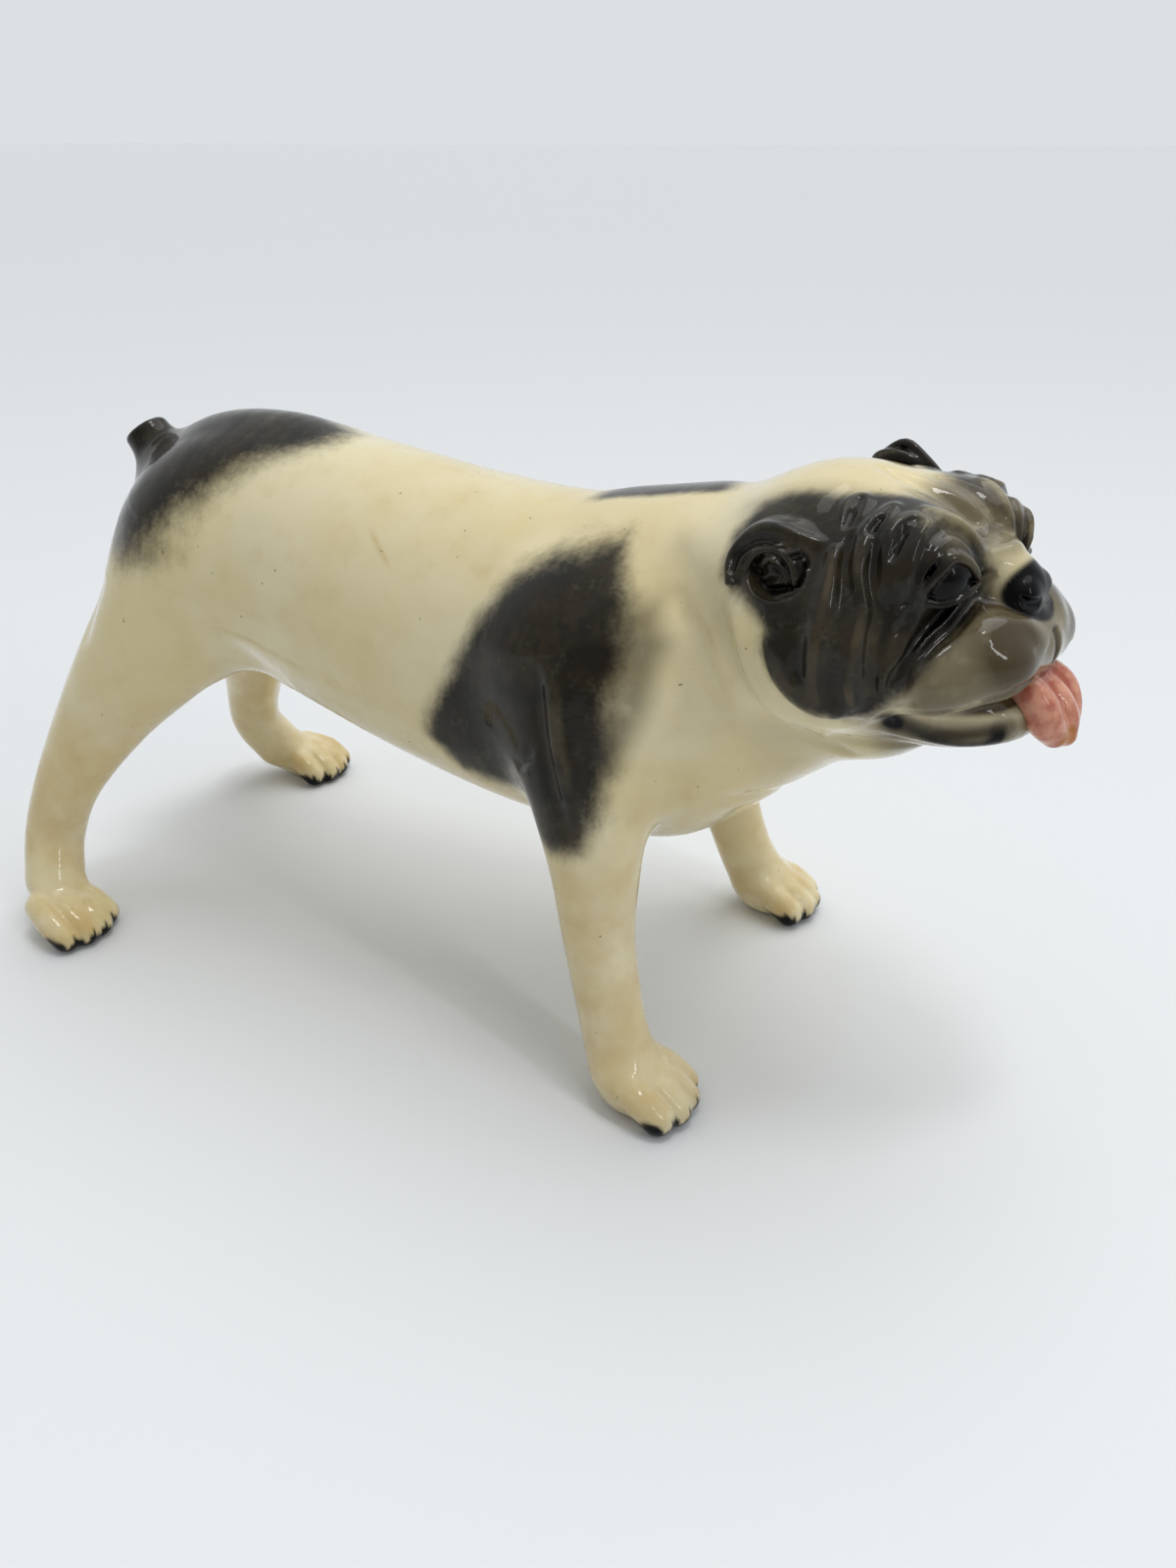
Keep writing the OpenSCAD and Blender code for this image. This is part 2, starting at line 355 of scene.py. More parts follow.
class Stroke:
    """A groove (height below zero) or a ridge along a path, tapered at both ends."""

    def __init__(self, points, width, height, taper=0.25):
        self.points = np.asarray(points, float)
        self.width, self.height, self.taper = width, height, taper
        self.rows = None

    def lay_on(self, field):
        """Draws the path's points onto the surface and smooths them."""
        points = self.points
        for _ in range(4):
            points = onto(field, points, 3.0)
        path = smooth_rows(tuple(map(tuple, points)), 4)
        t = np.linspace(0, 1, len(path))
        ends = np.minimum(t, 1 - t) / max(self.taper, 1e-3)
        weight = np.clip(ends, 0, 1) ** 0.7 if self.taper else np.ones(len(path))
        self.rows = np.column_stack([path, np.zeros(len(path))]).astype(np.float32)
        self.weight = weight.astype(np.float32)

    def lift(self, P):
        """How far the stroke raises the surface at each point, or None where it is far off."""
        parts, gap = nearest_parts(P, self.rows)
        if gap > 3 * self.width:
            return None
        best = np.full(P.shape[1], 1e9, np.float32)
        weight = np.zeros(P.shape[1], np.float32)
        for i in parts:
            t, x, y, z = along(P, self.rows[i], self.rows[i + 1])
            d = x * x + y * y + z * z
            nearer = d < best
            best = np.where(nearer, d, best)
            share = self.weight[i] + t * (self.weight[i + 1] - self.weight[i])
            weight = np.where(nearer, share, weight)
        return self.height * weight * np.exp(-best / np.float32(self.width ** 2))


def groove(points, width, depth, taper=0.25):
    return Stroke(points, width, -depth, taper)


def ridge(points, width, height, taper=0.25):
    return Stroke(points, width, height, taper)


def raised(P, strokes):
    """The sum of the strokes' lifts."""
    total = np.zeros(P.shape[1], np.float32)
    for stroke in strokes:
        lift = stroke.lift(P)
        if lift is not None:
            total += lift
    return total


# The folds of the face. y is to either side, so each is drawn on both sides.
FACE_FOLDS = [
    # the long cheek folds between the ear and the eye
    ridge([(8, 17, 16), (9, 20, 11), (9.3, 22, 6), (9.8, 24, 1), (10.5, 26, -4),
           (12, 26, -9)], 1.0, 1.0, 0.15),
    groove([(10.5, 17, 15), (11, 20, 10), (11.5, 22, 5), (12.3, 24, 0), (13.4, 25, -5),
            (14.5, 24.5, -9)], 1.1, 1.4, 0.15),
    groove([(6, 18, 16), (6.5, 21, 11), (7, 23, 6), (7.6, 25, 1), (8.3, 27, -4),
            (9.4, 27, -8)], 0.9, 1.1, 0.15),
    ridge([(4, 20, 14), (4.5, 22, 10), (5, 24, 5), (5.6, 27, 0), (6.2, 28, -5),
           (7, 28, -8)], 1.1, 0.9, 0.15),
    groove([(1, 21, 14), (2, 23.5, 9), (2.5, 25, 4), (3.4, 28, -1), (4, 29, -5)], 1.2, 1.0, 0.15),
    ridge([(13.2, 18, 9), (13.6, 21, 4.5), (14.2, 23.5, 0), (15.2, 24.5, -4.5),
           (16, 24, -8)], 1.0, 0.7),
    # finger-like loops on the temple, over the outer corner of the eye
    ridge([(4, 19, 17), (2, 15, 20), (3, 12, 21.5), (5, 13, 20.5), (6, 18, 17.5)], 0.9, 0.6),
    groove([(4.5, 19, 16.5), (3.5, 15, 20)], 0.8, 0.5),
    ridge([(7.5, 19, 15), (8, 17, 18), (9.5, 13, 20), (10.5, 15.5, 18.5), (10, 18, 16)], 0.9, 0.7),
    groove([(9, 18.5, 15), (9.3, 15.5, 18.6)], 0.8, 0.6),
    ridge([(11.5, 18, 14), (12, 16.5, 18), (13.5, 14.5, 19), (15.5, 14.5, 18), (15.5, 16, 15.5),
           (14, 18, 11)], 0.9, 0.9),
    groove([(13, 18, 12.5), (13.5, 16, 17)], 0.8, 0.8),
    # the arch of the brow over the eye
    groove([(14.5, 18, 9), (16, 16.5, 14), (17.5, 14, 17), (19, 12.5, 18), (21.5, 10.5, 17),
            (23.5, 9, 14), (24, 9, 11)], 1.1, 1.3),
    ridge([(13, 12, 20.5), (16, 11, 20), (19.5, 9, 18.5), (22, 7.5, 16), (23.5, 6.5, 13)], 1.3, 0.8),
    # the frown between the brows
    groove([(8, 5, 23), (12, 6, 21.5), (16, 5.5, 20), (19, 4.5, 18.5), (22, 4, 16)], 1.2, 0.9),
    groove([(0, 0, 23.5), (8, 0, 22.5), (15, 0, 19.5), (20, 0, 16.5)], 1.8, 1.2),
    ridge([(22, 7, 11), (24, 5.5, 13), (25.5, 0, 14), (24, -5.5, 13), (22, -7, 11)], 1.3, 1.0),
    # the double fold from the nose to the corner of the mouth
    groove([(24.6, 5.5, 10.5), (24.3, 8, 9.2), (23.8, 11.5, 6.8), (22.8, 15.5, 4.2), (21, 18.8, 1.4),
            (19.4, 21.4, -2.4), (18.4, 23, -6)], 0.9, 1.3, 0.2),
    ridge([(23.6, 8, 10.5), (23, 12, 8), (21.8, 15.8, 5.2), (20, 18.8, 2.2), (18.6, 21.4, -1.4),
           (17.6, 23, -4.5)], 1.1, 0.7),
    groove([(22.5, 9.5, 10.3), (21.4, 14.5, 7.3), (19.8, 17.6, 4.2), (17.8, 20.4, 1.2),
            (16.2, 22.6, -2.6), (14.5, 24.2, -6.2)], 1.0, 0.9),
    groove([(20.5, 21, -5.6), (19.3, 22.4, -7.4), (17.6, 23.4, -9)], 0.8, 0.8),
    ridge([(17, 18.5, 6), (15.5, 20.5, 3), (15, 22, 0), (15.5, 23.5, -3)], 1.6, 0.6),
    groove([(14.5, 20.5, 4.5), (13.2, 22.3, 1), (13.4, 23.6, -3)], 1.2, 0.7),
    # the edge of the cheek's jowl
    groove([(-5, 28, 6), (-4.5, 30, 1), (-3, 31, -4), (0, 31, -9), (4, 29.5, -12), (9, 27, -13.5),
            (14, 24, -13)], 1.5, 1.5, 0.15),
    ridge([(-1, 29, 2), (0.5, 30, -3), (3, 30, -7), (7, 28, -10), (11, 26, -11)], 2.5, 1.0),
    # the line where the lips meet
    groove([(14, 22.5, -11.5), (18, 22.5, -9.6), (23, 21, -8.6), (28, 17.5, -8), (31, 15, -7),
            (33.5, 12, -5.4), (34.5, 8, -4.6)], 0.7, 1.5, 0.12),
    # the pocket of the lower lip, between that line and its rim
    groove([(16.5, 21, -12.8), (19.5, 20, -13), (23.5, 17.5, -12.8), (28, 14, -12.8),
            (31.5, 9.5, -13)], 1.7, 1.5, 0.2),
    groove([(36, 0, 3.5), (36, 0, 0), (35.5, 0, -5)], 0.9, 1.3, 0.1),
    ridge([(27, 18, -3), (27, 15, 1.5), (28, 12, 4), (30, 9, 4.5), (33, 6, 3), (35, 4, 0)], 2.2, 0.7),
]

NECK_FOLDS = [
    groove([(-17, 24, 8), (-12, 28, 3), (-9, 30, -3), (-6.5, 29.5, -10), (-3, 26, -17),
            (0, 22, -22)], 2.6, 0.8),
    ridge([(-14, 26, 6), (-9, 29, 1), (-6, 30, -5), (-3, 29, -12), (1, 26, -18)], 1.5, 0.8),
    groove([(-24, 24, 4), (-18, 27, -3), (-14, 28, -11), (-9, 26, -20)], 2.0, 0.8),
    groove([(6, 22, -19), (12, 18, -21), (17, 12, -22), (19, 5, -22.5)], 1.3, 0.8),
    groove([(0, 24, -17), (5, 20, -23), (9, 14, -25.5)], 1.6, 0.8),
]

# The folds of the body, each on one side only: the shoulders, chest, right flank and haunches
BODY_FOLDS = [
    groove([(49, -34, 88), (50, -37, 82), (51, -38, 76), (52.5, -39, 70), (54.5, -40, 63),
            (58, -40, 55)], 1.5, 1.3),
    ridge([(52, -34, 88), (53, -37, 82), (54, -38.5, 76), (55.5, -39.5, 70),
           (57.5, -40.5, 63)], 1.8, 1.2),
    groove([(43, -36, 66), (47, -37, 69), (50, -38, 74)], 1.2, 0.6),
    groove([(50, 34, 88), (51, 38, 76), (54, 40, 63), (58, 40, 55)], 1.6, 1.2),
    groove([(66, -33, 86), (65, -31, 96), (70, -27, 104)], 2.4, 0.6),
    groove([(63, -37, 58), (69, -31, 60), (75, -25, 62)], 2.6, 0.9),
    groove([(78, -20, 63), (85, -8, 60), (86, 2, 59)], 2.2, 0.7),
    groove([(70, -30, 95), (74, -31, 86), (78, -29, 76)], 3.0, 0.7),
    groove([(-20, -27, 62), (-30, -26, 68), (-38, -27, 76), (-42, -28, 84)], 5.0, 0.9),
    groove([(-62, -24, 84), (-64, -26, 76), (-66, -28, 66)], 3.0, 0.7),
    groove([(-62, 24, 84), (-64, 26, 76), (-66, 28, 66)], 3.0, 0.7),
]


# ---- Paint: how much of each colour lies at each point of the surface, 0 to 1 ----

def soft(d, width):
    """1 well below zero, 0 well above it, and a smooth change across that width."""
    t = np.clip(0.5 - d / width, 0, 1)
    return t * t * (3 - 2 * t)


def outline(u, v, corners):
    """The distance to an outline drawn in two of the axes, below zero inside it."""
    corners = np.asarray(corners, np.float32)
    nearest = np.full(u.shape, 1e9, np.float32)
    inside = np.zeros(u.shape, bool)
    for (au, av), (bu, bv) in zip(corners, np.roll(corners, -1, axis=0)):
        eu, ev = bu - au, bv - av
        t = np.clip(((u - au) * eu + (v - av) * ev) / (eu * eu + ev * ev), 0, 1)
        nearest = np.minimum(nearest, (u - au - t * eu) ** 2 + (v - av - t * ev) ** 2)
        if ev:
            inside ^= ((av > v) != (bv > v)) & (u < au + (v - av) * eu / ev)
    return np.where(inside, -1, 1) * np.sqrt(nearest)


# Outlines of the painted patches. Seen from the side, in x and z:
RIGHT_SHOULDER = [(21, 70), (20, 65), (26, 57), (38, 56), (43, 57), (45, 53), (53, 51.5), (60, 53.5),
                  (62.5, 60), (63.5, 70), (62.5, 82), (64, 92), (62.5, 99), (57, 107), (51, 105),
                  (45, 104), (38, 99), (33, 92), (28, 82)]
SHOULDER_HAZE = [(60, 70), (64, 69), (68, 80), (70, 92), (67, 98), (61, 98)]
LEFT_SHOULDER = [(40, 100), (48, 118), (68, 120), (76, 106), (70, 90), (58, 80), (46, 86)]
# Seen from above, in x and y:
RUMP = [(-84, -10), (-66, -24), (-56, -32), (-46, -31), (-37, -26), (-29, -19), (-22, -14), (-15, -7),
        (-14, 2), (-20, 7), (-34, 12), (-50, 18), (-66, 16), (-84, 8)]
# In the head's x and z, for each side of it:
CHEEK = [(-3, 2), (-3.5, -2), (-1, -6), (4, -10.5), (10, -12), (15, -11), (18, -8), (20, -5), (21.5, -2),
         (23, 1), (24.4, 4), (25, 8), (25, 11), (23, 15), (18, 20), (11, 24), (0, 25), (-8, 21),
         (-13, 18), (-16, 13), (-15, 7), (-8, 5)]


def dark(P, L, Q):
    """Dark brown slip: the shoulders, the rump and tail, and both sides of the face."""
    x, y, z = P
    amount = soft(outline(x, z, RIGHT_SHOULDER), 8) * soft(y + 8, 6)
    amount = np.maximum(amount, soft(outline(x, z, LEFT_SHOULDER), 8) * soft(-5 - y, 5))
    amount = np.maximum(amount, soft(outline(x, y, RUMP), 13) * soft(88 - z, 13))
    amount = np.maximum(amount, soft(101 - z, 4) * soft(x + 64, 3))
    blaze = np.interp(Q[0], [-16, 0, 8, 14, 20, 25], [13, 12.5, 9, 6.5, 5.5, 5])
    cheek = soft(outline(Q[0], Q[2], CHEEK), 6) * soft(blaze - Q[1], 5)
    ear = soft(np.minimum(tube(Q, EAR_RIM, 3), tube(Q, FAR_EAR_RIM, 3)) - 2.2, 2) * soft(6.5 - Q[2], 2)
    return np.maximum.reduce([amount, cheek, ear])


def grey(P, L, Q):
    """A thin grey-brown haze: the muzzle, the forehead, the crown and the neck behind the ear. It is also
    painted shade under the chin and the throat and in the pocket of the lower lip.
    """
    muzzle = soft(19 - Q[0], 7) * soft(-11 - Q[2], 4) * 0.74
    muzzle = muzzle * (1 - 0.7 * soft(length(Q - column((25, 3, 11))) - 6, 5))
    flew = soft(length(Q - column((31, 12, 0.5))) - 4.5, 9) * 0.32
    forehead = soft(9 - Q[0], 7) * soft(13 - Q[2], 4) * soft(Q[1] - 9, 5) * 0.75
    # Painted shade under the jaw and under the throat
    chin = soft(12 - Q[0], 8) * soft(Q[2] + 11, 4) * 0.66
    throat = soft(-8 - Q[0], 8) * soft(Q[2] + 17, 8) * 0.15
    neck = soft(tube(Q, [(-25, 19, 9, 2), (-15, 26, 4, 3), (-9, 30, -3, 2),
                         (-6, 30, -10, 1)], 4), 9) * 0.3
    crown = soft(tube(Q, [(-16, 14, 17, 2), (-6, 13, 20, 2), (6, 11, 21, 2)], 4), 7) * 0.35
    x, y, z = P
    shoulder = soft(outline(x, z, SHOULDER_HAZE), 6) * soft(y + 8, 6) * 0.6
    # Painted shade in the pocket of the lower lip
    pocket = soft(tube(Q, [(16, 21.5, -12, 1), (24, 17, -14, 1), (32, 9.8, -13, 1)], 4) - 1, 3.5) * 0.88
    return np.maximum.reduce([muzzle + flew, forehead, chin, throat, neck, crown, shoulder, pocket])


def yellow(P, L, Q):
    """Yellow staining of the glaze: the feet, the legs, the lower lip and marks on the back."""
    feet = soft(P[2] - 14, 30) * 1.0
    legs = soft(P[2] - 54, 40) * 0.6
    lip = paint_along(Q, LIP_STAIN)
    return np.clip(np.maximum(feet, legs) + lip + paint_along(P, YELLOW_LINES), 0, 1)


def black(P, L, Q):
    """Glossy black: the nose, the eyes, the line under the nose and the claws."""
    nose = soft(egg(L, (28.6, 0, 6.6), (6.4, 6.6, 5.2)), 0.8) * soft(25.4 - Q[0], 1.5)
    eye = soft(length(Q - column(EYE_AT)) - EYE_SIZE - 0.12, 0.35)
    return np.maximum.reduce([nose, eye, paint_along(Q, LIP_LINE), claws(P)])


def claws(P):
    """The black edges of the toes, low down at the front of each paw."""
    Q = mirrored(P)
    fore = soft(8.6 - length(Q - column((72, 39.6, 0))), 1.6) * soft(68 - Q[0], 4)
    hind = soft(8.6 - length(Q - column((-76.5, 46.8, 0))), 1.6) * soft(-80.5 - Q[0], 4) * soft(Q[0] + 40, 2)
    height = 3.2 + 1.0 * np.sin(1.7 * Q[1]) + 0.5 * np.sin(5.1 * Q[1] + Q[0])
    return np.maximum(fore, hind) * soft(Q[2] - height, 1.4)


def paint_along(P, strokes):
    return np.clip(raised(P, strokes), 0, 1)


LIP_LINE = [ridge([(36, 0, 4), (36, 0, 0), (35.5, 0, -5)], 0.9, 1.2, 0.1),
            ridge([(15, 21, -11.6), (17, 20.6, -12.8), (20.5, 19, -14.4), (24.5, 16, -15.4),
                   (29, 12, -15), (32, 9.6, -13.4)], 1.7, 0.95, 0.1),
            ridge([(14.5, 21.5, -11.8), (18.5, 20, -13.4)], 2.0, 0.6),
            ridge([(29, 12, -13), (31.5, 10, -13.6)], 1.9, 0.5)]
LIP_STAIN = [ridge([(20.5, 19.4, -11.6), (22.5, 18, -12)], 1.6, 0.9)]
YELLOW_LINES = [ridge([(4, -21, 103), (8, -23, 99), (13, -26, 95)], 0.5, 0.8),
                ridge([(0, -21, 103), (3, -24, 99)], 0.4, 0.5),
                ridge([(27, -24, 97), (33, -23, 99)], 1.4, 0.5)]


def lay_folds():
    """Puts every fold and painted line on the surface that it runs along."""
    for stroke in FACE_FOLDS + LIP_LINE + LIP_STAIN:
        stroke.lay_on(head)
    for stroke in NECK_FOLDS:
        stroke.lay_on(lambda L: plain_dog(out_of_head(L)))
    for stroke in BODY_FOLDS + YELLOW_LINES:
        stroke.lay_on(plain_dog)


def amber(P, L, Q):
    """The amber spot on the tip of the tongue."""
    return soft(length(L - column((39.9, -2.7, -15.4))) - 2, 1.6)


LAYERS = {"dark": dark, "grey": grey, "yellow": yellow, "black": black, "amber": amber}


def paint(piece, points, field, normals):
    """Gives the piece its paint layers, and how deep in a crease each point lies."""
    def layers(p):
        P = p.T.astype(np.float32)
        L = in_head(P)
        Q = mirrored(L)
        return tuple(layer(P, L, Q) for layer in LAYERS.values())

    def crease(p):
        P = p.T.astype(np.float32)
        return (CREASE_REACH - field(P)) / CREASE_REACH

    values = dict(zip(LAYERS, in_blocks(layers, points)))
    values["crease"] = in_blocks(crease, points + normals * CREASE_REACH)
    for name, value in values.items():
        layer = piece.data.attributes.new(name, "FLOAT", "POINT")
        value = np.concatenate([value, np.zeros(len(piece.data.vertices) - len(value))])
        layer.data.foreach_set("value", value.astype(np.float32))


CREASE_REACH = 1.3


# ---- Turning a field into a mesh ----

def sample(field, low, high, step, block=4, threads=4):
    """The field on a regular grid. Only blocks near the surface are computed finely."""
    low = np.asarray(low, float)
    blocks = np.ceil((np.asarray(high) - low) / step / block).astype(int)
    count = blocks * block + 1
    axes = [(low[i] + np.arange(blocks[i] + 1) * step * block).astype(np.float32)
            for i in range(3)]
    corners = np.stack(np.meshgrid(*axes, indexing="ij")).reshape(3, -1)
    with ThreadPoolExecutor(threads) as pool:
        starts = range(0, corners.shape[1], 3000)
        rough = np.concatenate(list(pool.map(
            lambda i: field(corners[:, i:i + 3000]), starts))).reshape(blocks + 1)
        grid = np.repeat(np.repeat(np.repeat(rough, block, 0), block, 1), block, 2)
        grid = np.ascontiguousarray(grid[:count[0], :count[1], :count[2]])
        near = np.abs(rough) < step * block * 1.1 + 0.7
        active = np.zeros(tuple(blocks), bool)
        for i, j, k in np.ndindex(2, 2, 2):
            active |= near[i:blocks[0] + i, j:blocks[1] + j, k:blocks[2] + k]
        todo = np.argwhere(active)
        # Neighbouring blocks are computed together, so that far shapes can be skipped
        group = (todo // 5) @ np.array([1000000, 1000, 1])
        todo = todo[np.argsort(group, kind="stable")]
        offsets = np.stack(np.meshgrid(*[np.arange(block + 1)] * 3, indexing="ij"), -1)
        offsets = offsets.reshape(-1, 3)

        def fill(start):
            cells = todo[start:start + 100, None, :] * block + offsets[None]
            cells = cells.reshape(-1, 3)
            points = np.ascontiguousarray((low + cells * step).T.astype(np.float32))
            grid[tuple(cells.T)] = field(points)

        list(pool.map(fill, range(0, len(todo), 100)))
    return grid, low


def surface_nets(grid, low, step):
    """Vertices and outward-facing quads of the surface where the grid changes sign."""
    inside = grid < 0
    size = grid.shape
    total = np.zeros(tuple(n - 1 for n in size), np.int8)
    for i, j, k in np.ndindex(2, 2, 2):
        total += inside[i:size[0] - 1 + i, j:size[1] - 1 + j, k:size[2] - 1 + k]
    crossed = (total > 0) & (total < 8)
    cells = np.argwhere(crossed)
    number = np.full(total.shape, -1, np.int64)
    number[crossed] = np.arange(len(cells))
    points, hits = np.zeros((len(cells), 3)), np.zeros(len(cells))
    i, j, k = cells.T
    for corner in np.ndindex(2, 2, 2):
        for axis in range(3):
            if corner[axis]:
                continue
            other = list(corner)
            other[axis] = 1
            a = grid[i + corner[0], j + corner[1], k + corner[2]]
            b = grid[i + other[0], j + other[1], k + other[2]]
            cross = (a < 0) != (b < 0)
            place = np.tile(np.array(corner, float), (len(i), 1))
            place[:, axis] += np.where(cross, a / (a - b + 1e-30), 0)
            points[cross] += place[cross]
            hits[cross] += 1
    points = (cells + points / hits[:, None]) * step + low
    quads = []
    for axis in range(3):
        u, v = (axis + 1) % 3, (axis + 2) % 3
        here, there = [slice(1, -1)] * 3, [slice(1, -1)] * 3
        here[axis], there[axis] = slice(0, -1), slice(1, None)
        edges = np.argwhere(inside[tuple(here)] != inside[tuple(there)])
        leaving = inside[tuple(here)][tuple(edges.T)]
        edges[:, u] += 1
        edges[:, v] += 1
        ring = []
        for du, dv in ((1, 1), (0, 1), (0, 0), (1, 0)):
            cell = edges.copy()
            cell[:, u] -= du
            cell[:, v] -= dv
            ring.append(number[tuple(cell.T)])
        ring = np.stack(ring, 1)
        ring[~leaving] = ring[~leaving][:, ::-1]
        quads.append(ring)
    return points, np.vstack(quads)


# ---- The pieces: each is the part of the dog's surface on its own side of the seams ----

NECK_SEAM_X, NECK_SEAM_TILT = -4, 19


def neck_seam(P):
    """Below zero in front of the cut between the neck and the head."""
    L = in_head(P)
    tilt = math.radians(NECK_SEAM_TILT)
    return -(L[0] - NECK_SEAM_X) * math.cos(tilt) - L[2] * math.sin(tilt)


def fore_seam(P):
    return tube(mirrored(P), FORE_LEG, 20) - trunk(P)


def hind_seam(P):
    return tube(mirrored(P), HIND_LEG, 20) - trunk(P)


def tail_seam(P):
    return tube(P, TAIL) - 1.5 - trunk(P)


def ear_seam(P):
    """Below zero in an egg of space round each ear."""
    return egg(mirrored(in_head(P)), (-4.5, 22, 13.5), (12.5, 10, 11))


def tail_region(P):
    return tail_seam(P)


def torso_region(P):
    gap = np.maximum(-neck_seam(P), -fore_seam(P))
    gap = np.maximum(gap, -hind_seam(P))
    gap = np.maximum(gap, -ear_seam(P))
    return np.maximum(gap, -tail_seam(P))


def head_region(P):
    return np.maximum(neck_seam(P), -ear_seam(P))


def fore_region(side):
    return lambda P: np.maximum(fore_seam(P), -side * P[1])


def hind_region(side):
    return lambda P: np.maximum(hind_seam(P), -side * P[1])


def ear_region(side):
    return lambda P: np.maximum(ear_seam(P), -side * in_head(P)[1])


def slope(field, points, step=0.04):
    """The field's value and its gradient at each point."""
    points = points.T.astype(np.float32)
    here = field(points)
    parts = []
    for axis in range(3):
        shift = np.zeros((3, 1), np.float32)
        shift[axis] = step
        parts.append((field(points + shift) - here) / step)
    return here, np.stack(parts, 1)


def in_blocks(work, points, size=3000, threads=4):
    """Runs work on blocks of nearby points, and joins what it returns."""
    order = np.lexsort((points // 12).astype(int).T)
    parts = [order[i:i + size] for i in range(0, len(order), size)]
    with ThreadPoolExecutor(threads) as pool:
        found = list(pool.map(lambda rows: work(points[rows]), parts))
    first = found[0]
    if isinstance(first, tuple):
        out = tuple(np.empty((len(points),) + f.shape[1:]) for f in first)
        for rows, f in zip(parts, found):
            for o, v in zip(out, f):
                o[rows] = v
        return out
    out = np.empty((len(points),) + first.shape[1:])
    for rows, f in zip(parts, found):
        out[rows] = f
    return out


def onto(field, points, most):
    """The points moved onto the field's surface, each by at most that much."""
    value, steep = in_blocks(lambda p: slope(field, p), points)
    size = (steep ** 2).sum(1) + 1e-6
    move = -(value / size)[:, None] * steep
    long = np.linalg.norm(move, axis=1)[:, None] + 1e-9
    return points + move * np.minimum(1, most / long)


def open_edges(faces):
    """The edges that no face on their other side matches, each in its own face's direction."""
    edges = np.vstack([faces[:, [i, (i + 1) % 4]] for i in range(4)])
    key, which = np.unique(np.sort(edges, 1), axis=0, return_inverse=True)
    count = np.bincount(which.ravel(), np.where(edges[:, 0] < edges[:, 1], 1, -1)).astype(int)
    key = np.where(count[:, None] < 0, key[:, ::-1], key)
    return np.repeat(key, np.abs(count), axis=0)


def closed(points, faces, normals):
    """The patch made solid: each hole gets a wall that goes in under the surface, and a cap."""
    following = {}
    for a, b in open_edges(faces):
        following.setdefault(int(a), []).append(int(b))
    polygons = [tuple(f) for f in faces.tolist()]
    vertices = [tuple(p) for p in points]
    while following:
        here = next(iter(following))
        loop = []
        while here in following:
            loop.append(here)
            next_one = following[here].pop()
            if not following[here]:
                del following[here]
            here = next_one
        ring = points[loop]
        reach = np.linalg.norm(ring - ring.mean(0), axis=1).mean()
        ring = ring - normals[loop] * min(WALL_DEPTH, 0.5 * reach)
        first, count = len(vertices), len(loop)
        vertices += [tuple(p) for p in ring]
        vertices.append(tuple(ring.mean(0) - normals[loop].mean(0) * 0.5 * reach))
        for i, j in zip(range(count), [*range(1, count), 0]):
            polygons.append((loop[j], loop[i], first + i, first + j))
            polygons.append((first + j, first + i, first + count))
    return vertices, polygons


WALL_DEPTH = 2.5


def cut_patch(field, region, low, high, step):
    """The part of the field's surface where the region is below zero."""
    grid, low = sample(field, low, high, step)
    points, faces = surface_nets(grid, low, step)
    inside = in_blocks(lambda p: region(p.T.astype(np.float32)), points[faces].mean(1)) < 0
    kept, other = faces[inside], faces[~inside]
    rim = np.intersect1d(kept, other)
    for _ in range(3):
        if len(rim):
            points[rim] = onto(region, points[rim], step)
            points[rim] = onto(field, points[rim], step)
    used, numbers = np.unique(kept, return_inverse=True)
    return points[used], numbers.reshape(kept.shape)


def make_piece(name, field, region, low, high, step):
    """One piece of the dog as a closed mesh, with the field's own normals."""
    points, faces = cut_patch(field, region, low, high, step)
    _, steep = in_blocks(lambda p: slope(field, p), points)
    normals = steep / (np.linalg.norm(steep, axis=1)[:, None] + 1e-9)
    vertices, polygons = closed(points, faces, normals)
    normals = np.vstack([normals, np.tile([0.0, 0.0, 1.0], (len(vertices) - len(normals), 1))])
    mesh = bpy.data.meshes.new(name)
    place = np.asarray(vertices) * MM + np.array(ORIGIN)
    mesh.from_pydata(place.tolist(), [], polygons)
    mesh.update()
    mesh.shade_smooth()
    mesh.normals_split_custom_set_from_vertices(normals.tolist())
    piece = bpy.data.objects.new(name, mesh)
    bpy.context.scene.collection.objects.link(piece)
    paint(piece, points, field, normals[:len(points)])
    return piece


# ---- Materials ----

def tint(red, green, blue):
    """A colour given as 0 to 255 on screen, as the shaders take it."""
    return tuple(((c / 255 + 0.055) / 1.055) ** 2.4 if c > 10 else c / 255 / 12.92
                 for c in (red, green, blue)) + (1,)


